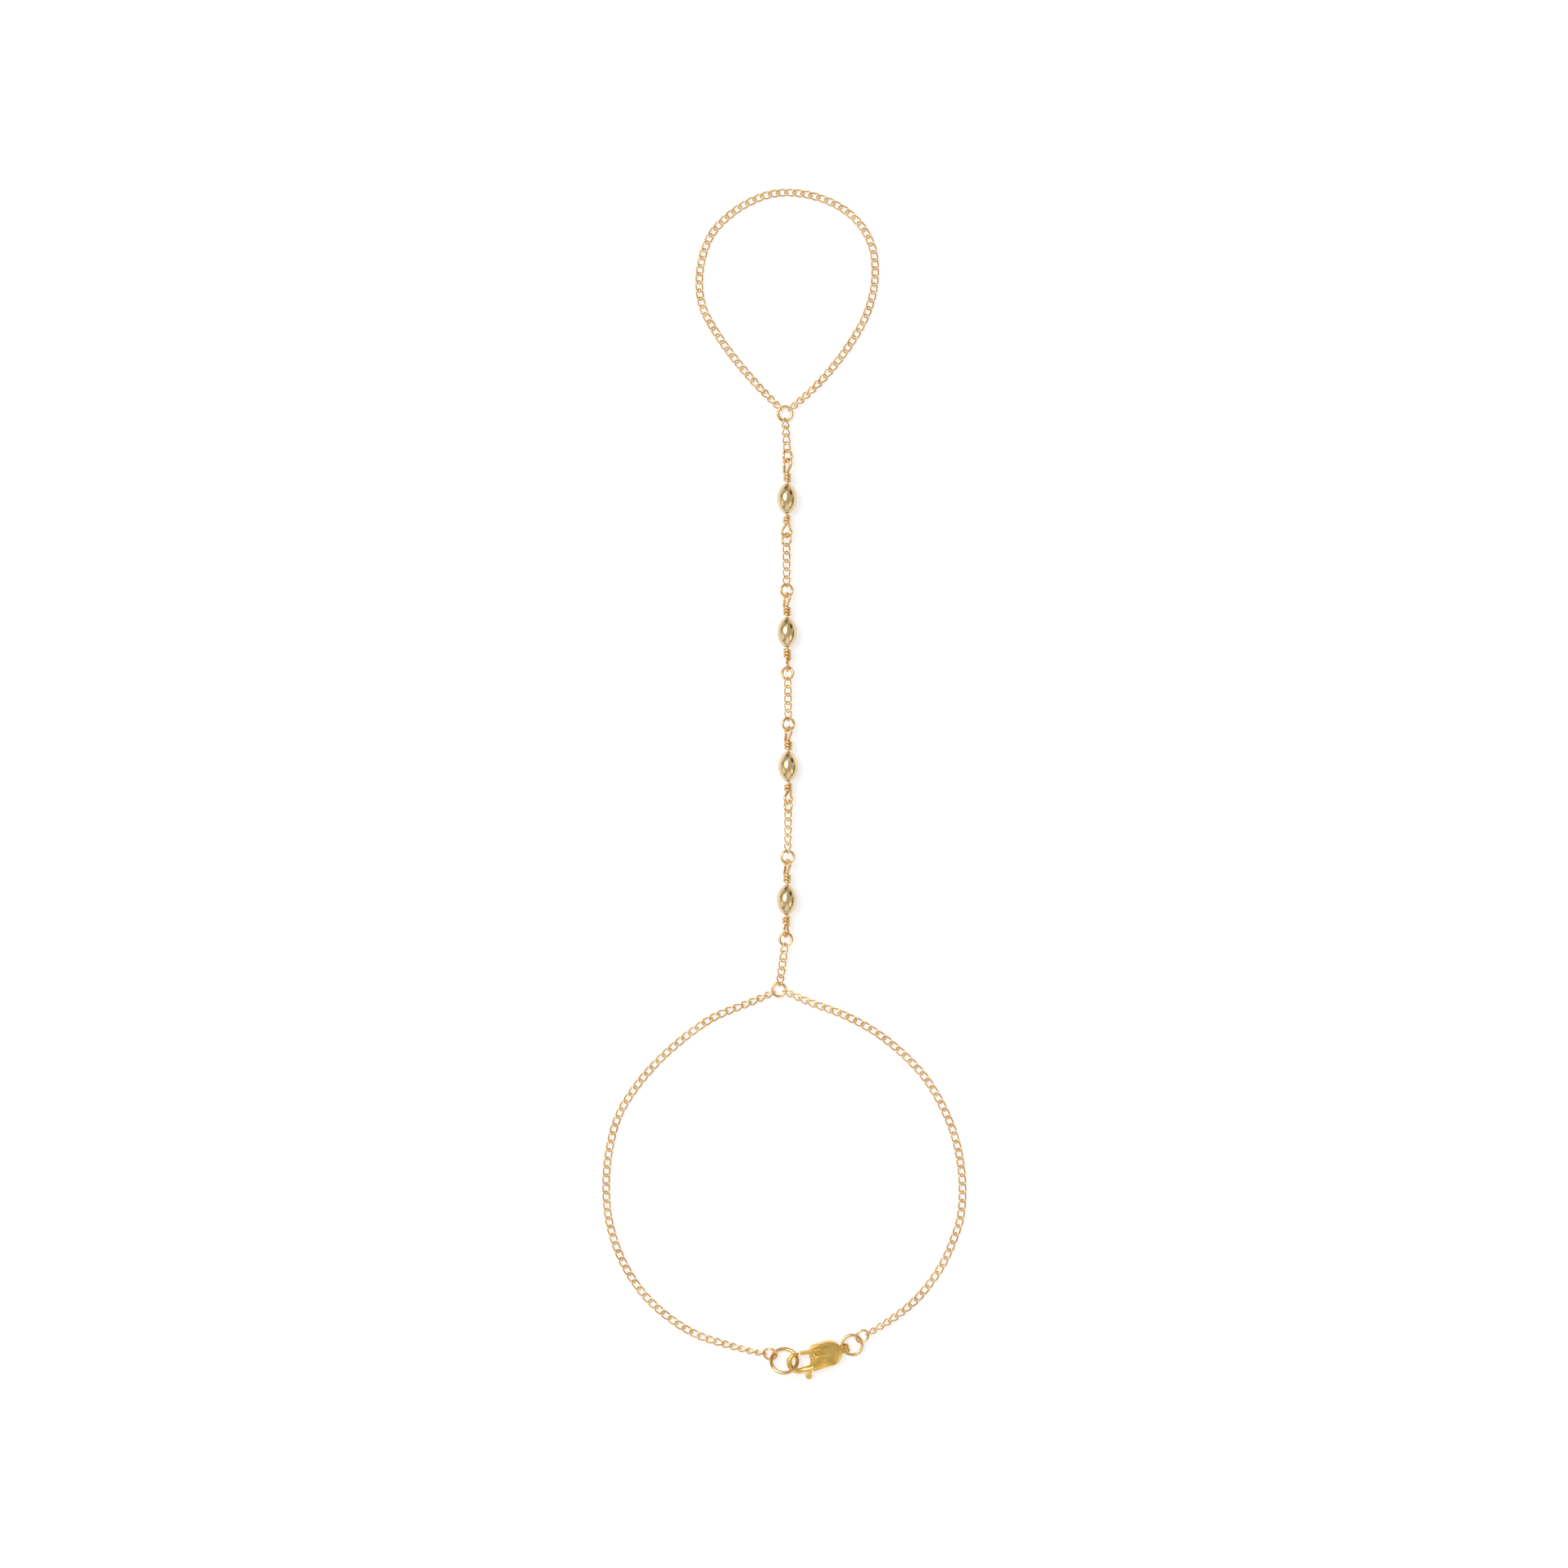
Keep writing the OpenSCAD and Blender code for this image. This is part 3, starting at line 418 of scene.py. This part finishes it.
def linkTree():
    g, given = newTree("linkRow", {"Link Path": "NodeSocketObject", "Wire Radius": "NodeSocketFloat",
                                   "Wire Sides": "NodeSocketInt", "Tone Seed": "NodeSocketInt",
                                   "Gold": "NodeSocketMaterial"})
    path = g.add("GeometryNodeObjectInfo", None, {"Object": given["Link Path"]}, "Geometry")
    section = g.add("GeometryNodeCurvePrimitiveCircle", None, {
        "Resolution": given["Wire Sides"], "Radius": given["Wire Radius"]})
    link = g.add("GeometryNodeCurveToMesh", None, {"Curve": path, "Profile Curve": section})
    return placeAndFinish(g, given, link, given["Tone Seed"])


def ringTree():
    g, given = newTree("jumpRing", {"Ring Radius": "NodeSocketFloat", "Wire Radius": "NodeSocketFloat",
                                    "Cut": "NodeSocketFloat", "Cut At": "NodeSocketFloat",
                                    "Gold": "NodeSocketMaterial"})
    sweep = 2 * math.pi - given["Cut"]
    arc = g.add("GeometryNodeCurveArc", None, {
        "Resolution": ringShape["steps"], "Radius": given["Ring Radius"],
        "Start Angle": given["Cut At"] + given["Cut"] * 0.5, "Sweep Angle": sweep})
    section = g.add("GeometryNodeCurvePrimitiveCircle", None, {
        "Resolution": ringShape["sides"], "Radius": given["Wire Radius"]})
    wire = g.add("GeometryNodeCurveToMesh", None, {
        "Curve": arc, "Profile Curve": section, "Fill Caps": True})
    return placeAndFinish(g, given, wire, ringShape["seed"])


def runTree(name, mesh, tree, inputs):  # applies a tree to a mesh and gives back a plain object
    maker = bpy.data.objects.new(name + "Maker", mesh)
    bpy.context.scene.collection.objects.link(maker)
    modifier = maker.modifiers.new("maker", "NODES")
    modifier.node_group = tree
    for item in tree.interface.items_tree:
        if item.item_type == "SOCKET" and item.in_out == "INPUT" and item.name in inputs:
            modifier[item.identifier] = inputs[item.name]
    ready = bpy.context.evaluated_depsgraph_get()
    made = bpy.data.meshes.new_from_object(maker.evaluated_get(ready), depsgraph=ready)
    maker.modifiers.remove(modifier)
    bpy.data.objects.remove(maker)
    piece = bpy.data.objects.new(name, made)
    bpy.context.scene.collection.objects.link(piece)
    return piece


def settle(piece, body, slot, *nodes):  # puts a finished piece on its body and hides the frame's nodes that it replaces
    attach(piece, body)
    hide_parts(*nodes)


# A link is a twisted oval: its ends lean to both sides, and its sides climb from one end to the other
linkShape = {"length": 1.96 * mm, "width": 1.2 * mm, "wire": 0.24 * mm, "lean": math.radians(40),
             "rise": 0.65, "bendReach": 0.52 * mm, "sides": 8, "endSteps": 2, "bendSteps": 5, "seed": 7}


def linkPath():
    s = linkShape
    halfLength = (s["length"] - s["wire"]) / 2
    halfWidth = (s["width"] - s["wire"]) / 2
    cornerX = halfWidth * math.tan(s["lean"]) / s["rise"]
    cornerV = halfWidth / math.cos(s["lean"])
    reach = s["bendReach"]
    endX = (reach ** 2 - cornerX ** 2 - cornerV ** 2 + halfLength ** 2) / (2 * (halfLength - cornerX))
    endR = halfLength - endX
    toCorner = math.hypot(cornerX - endX, cornerV)
    turn = math.atan2(cornerV, cornerX - endX) - math.acos(endR / toCorner)
    leaning = Vector((0, math.cos(s["lean"]), math.sin(s["lean"])))
    side = Vector((1, 0, s["rise"])).normalized()
    corner = Vector((cornerX, 0, 0)) + cornerV * leaning

    def onEnd(angle):
        return Vector((endX + endR * math.cos(angle), 0, 0)) + endR * math.sin(angle) * leaning

    fromEnd = onEnd(turn)
    toSide = corner - reach * side
    quarter = [onEnd(turn * i / s["endSteps"]) for i in range(s["endSteps"])]
    for i in range(s["bendSteps"]):  # a rounded corner between the end and the side
        t = i / (s["bendSteps"] - 1)
        quarter.append(fromEnd.lerp(corner, t).lerp(corner.lerp(toSide, t), t))
    half = quarter + [Vector((-p.x, p.y, -p.z)) for p in reversed(quarter)]
    return half + [Vector((p.x, -p.y, -p.z)) for p in reversed(half[1:-1])]


def curveObject(name, points):
    curve = bpy.data.curves.new(name, "CURVE")
    curve.dimensions = "3D"
    spline = curve.splines.new("POLY")
    spline.points.add(len(points) - 1)
    for point, place in zip(spline.points, points):
        point.co = (*place, 1)
    spline.use_cyclic_u = True
    path = bpy.data.objects.new(name, curve)
    bpy.context.scene.collection.objects.link(path)
    return path


chainPieces = {"fingerChain": "finger_chain", "handChain1": "hand_chain_1",
               "handChain2": "hand_chain_2", "handChain3": "hand_chain_3",
               "handChain4": "hand_chain_4", "handChain5": "hand_chain_5",
               "wristChainLeft": "wrist_chain_left", "wristChainRight": "wrist_chain_right"}


def makeChains(gold):
    path = curveObject("linkPath", linkPath())
    tree = linkTree()
    for seed, (name, node) in enumerate(chainPieces.items()):
        places = placesOf(node)
        piece = runTree(name, pointsMesh(name + "Points", places), tree, {
            "Link Path": path, "Wire Radius": linkShape["wire"] / 2, "Wire Sides": linkShape["sides"],
            "Tone Seed": linkShape["seed"] + seed, "Gold": gold})
        settle(piece, mainBody, "chain_gold", node)
        print(name, len(places), "links")
    bpy.data.objects.remove(path)


# Round rings, in millimetres: the width over the wire, and the wire
ringShape = {"steps": 72, "sides": 20, "seed": 3}
beadRingSize = (2.3, 0.4)
ringSizes = {"finger_ring": (2.65, 0.46), "wrist_ring": (2.45, 0.4), "end_ring_left": (2.4, 0.36),
             "end_ring_right": (2.4, 0.36), "catch_ring": (4.6, 0.6), "clasp_ring": (3.5, 0.47),
             **{f"bead_ring_{bead}{end}": beadRingSize for bead in range(1, 5) for end in "ab"}}
claspRingCut = {"width": 0.05 * mm, "at": math.radians(-101)}  # where it shows, seen from above
closedCut = {"width": 0.004 * mm, "at": math.radians(50)}


def makeRings(gold):
    tree = ringTree()
    for node, (across, wire) in ringSizes.items():
        middle, turn = placesOf(node)[0]
        radius = (across - wire) / 2 * mm
        flat = turn.to_matrix()
        cut, cutAt = closedCut["width"], closedCut["at"]
        if node == "clasp_ring":
            cut = claspRingCut["width"]
            angle = claspRingCut["at"]
            way = flat.transposed() @ Vector((math.cos(angle), math.sin(angle), 0))
            cutAt = math.atan2(way.y, way.x)
        name = node.replace("_", " ").title().replace(" ", "")
        name = name[0].lower() + name[1:]
        piece = runTree(name, pointsMesh(name + "Point", [(middle, turn)]), tree, {
            "Ring Radius": radius, "Wire Radius": wire / 2 * mm, "Cut": cut / radius, "Cut At": cutAt,
            "Gold": gold})
        settle(piece, mainBody, "ring_gold", node)
    print("rings", len(ringSizes))


# A bead is turned from two arcs: a small one at each end and a flat one along its side
beadShape = {"across": 3.06 * mm, "length": 4.66 * mm, "endRadius": 1.05 * mm, "hole": 0.61 * mm,
             "lip": 0.07 * mm, "wall": 0.3 * mm, "sideSteps": 22, "endSteps": 12, "lipSteps": 4,
             "turns": 96, "mergeWithin": 0.0001 * mm}


def beadProfile():  # from the far end's lip to the near one, each point [along, out]
    s = beadShape
    endMiddle = s["length"] / 2 - s["endRadius"]
    halfAcross = s["across"] / 2
    bulge = halfAcross - s["endRadius"]
    sideRadius = (halfAcross ** 2 + endMiddle ** 2 - s["endRadius"] ** 2) / (2 * bulge)
    sideOff = halfAcross - sideRadius
    join = math.atan2(-sideOff, endMiddle)  # the angle from the long way where the two arcs meet
    holeAngle = math.asin((s["hole"] / 2 + s["lip"]) / s["endRadius"])
    points = []
    for i in range(s["endSteps"]):
        angle = holeAngle + (join - holeAngle) * i / s["endSteps"]
        points.append((endMiddle + s["endRadius"] * math.cos(angle),
                       s["endRadius"] * math.sin(angle)))
    for i in range(s["sideSteps"] + 1):
        angle = join + (math.pi / 2 - join) * i / s["sideSteps"]
        points.append((sideRadius * math.cos(angle), sideOff + sideRadius * math.sin(angle)))
    outer = points + [(-along, out) for along, out in reversed(points[:-1])]
    first = points[0]
    lip = []
    for i in range(s["lipSteps"]):
        t = math.pi / 2 * (i + 1) / s["lipSteps"]
        lip.append((first[0] - s["lip"] * math.sin(t),
                    s["hole"] / 2 + s["lip"] * (1 - math.cos(math.pi / 2 - t))))
    inside = first[0] - s["wall"]
    lip.append((inside, s["hole"] / 2))
    inner = [(inside, s["across"] / 4), (0, halfAcross - s["wall"]), (-inside, s["across"] / 4)]
    return lip[::-1] + outer + [(-along, out) for along, out in lip] + inner[::-1]


def makeBeads(gold):
    profile = beadProfile()
    for number in range(1, 5):
        node = f"bead_{number}"
        middle, turn = placesOf(node)[0]
        place = Matrix.Translation(middle) @ turn.to_matrix().to_4x4()
        steps = beadShape["turns"]
        bm = bmesh.new()
        rows = []
        for i in range(steps):
            a = 2 * math.pi * i / steps
            rows.append([bm.verts.new(place @ Vector((along, out * math.cos(a), out * math.sin(a))))
                         for along, out in profile])
        for i in range(steps):
            this, following = rows[i], rows[(i + 1) % steps]
            for k in range(len(profile)):
                n = (k + 1) % len(profile)
                bm.faces.new((this[k], following[k], following[n], this[n]))
        bmesh.ops.remove_doubles(bm, verts=bm.verts, dist=beadShape["mergeWithin"])
        bmesh.ops.recalc_face_normals(bm, faces=bm.faces)
        piece = finishMesh(bm, f"bead{number}", gold)
        settle(piece, mainBody, "bead_gold", node)
    print("beads", 4)


def finishMesh(bm, name, gold):
    for face in bm.faces:
        face.smooth = True
    mesh = bpy.data.meshes.new(name)
    bm.to_mesh(mesh)
    bm.free()
    mesh.materials.append(gold)
    piece = bpy.data.objects.new(name, mesh)
    bpy.context.scene.collection.objects.link(piece)
    return piece


# A bead's wire: the frame's eight-sided wire, rounded. The rounding pulls it in, so it is swollen first
wireShape = {"swell": 0.0245 * mm, "levels": 2, "flatWithin": 1.0, "squareWithin": 3.1}


def makeWires(gold):
    for number in range(1, 5):
        node = f"bead_wire_{number}"
        bm = mergedCopy(node)
        bmesh.ops.join_triangles(bm, faces=bm.faces, angle_face_threshold=wireShape["flatWithin"],
                                 angle_shape_threshold=wireShape["squareWithin"])
        bm.normal_update()
        for vert in bm.verts:
            vert.co += vert.normal * wireShape["swell"]
        piece = finishMesh(bm, f"beadWire{number}", gold)
        levels = wireShape["levels"]
        applyModifier(piece, "SUBSURF", {"levels": levels, "render_levels": levels})
        settle(piece, mainBody, "ring_gold", node)
    print("bead wires", 4)


def applyModifier(piece, kind, settings):
    modifier = piece.modifiers.new(kind.lower(), kind)
    for name, value in settings.items():
        setattr(modifier, name, value)
    ready = bpy.context.evaluated_depsgraph_get()
    made = bpy.data.meshes.new_from_object(piece.evaluated_get(ready), depsgraph=ready)
    piece.modifiers.remove(modifier)
    piece.data = made


# The cast pieces of the clasp: a fine mesh over the frame's solid, smoothed a few times
castShape = {"voxel": 0.045 * mm, "smoothing": 8, "factor": 0.5}


def castCopy(node, name, gold):  # one solid of the frame with its edges worn round
    piece = finishMesh(mergedCopy(node), name, gold)
    applyModifier(piece, "REMESH", {
        "mode": "VOXEL", "voxel_size": castShape["voxel"], "use_smooth_shade": True})
    applyModifier(piece, "SMOOTH", {
        "iterations": castShape["smoothing"], "factor": castShape["factor"]})
    return piece


def makeClasp(gold, dullGold):
    case = castCopy("clasp_body", "claspCase", gold)
    settle(case, mainBody, "clasp_gold", "clasp_body")
    lever = castCopy("clasp_lever", "claspGate", dullGold)
    settle(lever, leverBody, "lever_gold", "clasp_lever")
    makePin(gold)
    print("clasp", len(case.data.polygons), "and gate", len(lever.data.polygons), "faces")


# The rivet's heads are filed flush with the case, so that it hardly shows
pinShape = {"radius": 0.31 * mm, "length": 1.64 * mm, "edge": 0.02 * mm, "edgeSteps": 3, "sides": 48}


def makePin(gold):
    s = pinShape
    middle, turn = placesOf("clasp_pin")[0]
    upright = Matrix.Rotation(math.pi / 2, 4, "Y")
    place = Matrix.Translation(middle) @ turn.to_matrix().to_4x4() @ upright
    bm = bmesh.new()
    bmesh.ops.create_cone(bm, cap_ends=True, segments=s["sides"], radius1=s["radius"],
                          radius2=s["radius"], depth=s["length"], matrix=place)
    rims = [edge for edge in bm.edges if any(len(face.verts) > 4 for face in edge.link_faces)]
    bmesh.ops.bevel(bm, geom=rims, offset=s["edge"], segments=s["edgeSteps"], affect="EDGES")
    settle(finishMesh(bm, "rivet", gold), mainBody, "clasp_gold", "clasp_pin")


def buildScene():
    makeCamera()
    makeWorld()
    makeLight("keyLight", keyLight)
    makeLight("fillLight", fillLight)
    makeFloor()
    bpy.context.scene.view_settings.view_transform = "Standard"
    print("studio ready")
    makeChains(makeGold(chainGold))
    makeRings(makeGold(ringGold))
    makeBeads(makeGold(beadGold))
    makeWires(makeGold(wireGold))
    makeClasp(makeGold(claspGold), makeGold(leverGold))


buildScene()
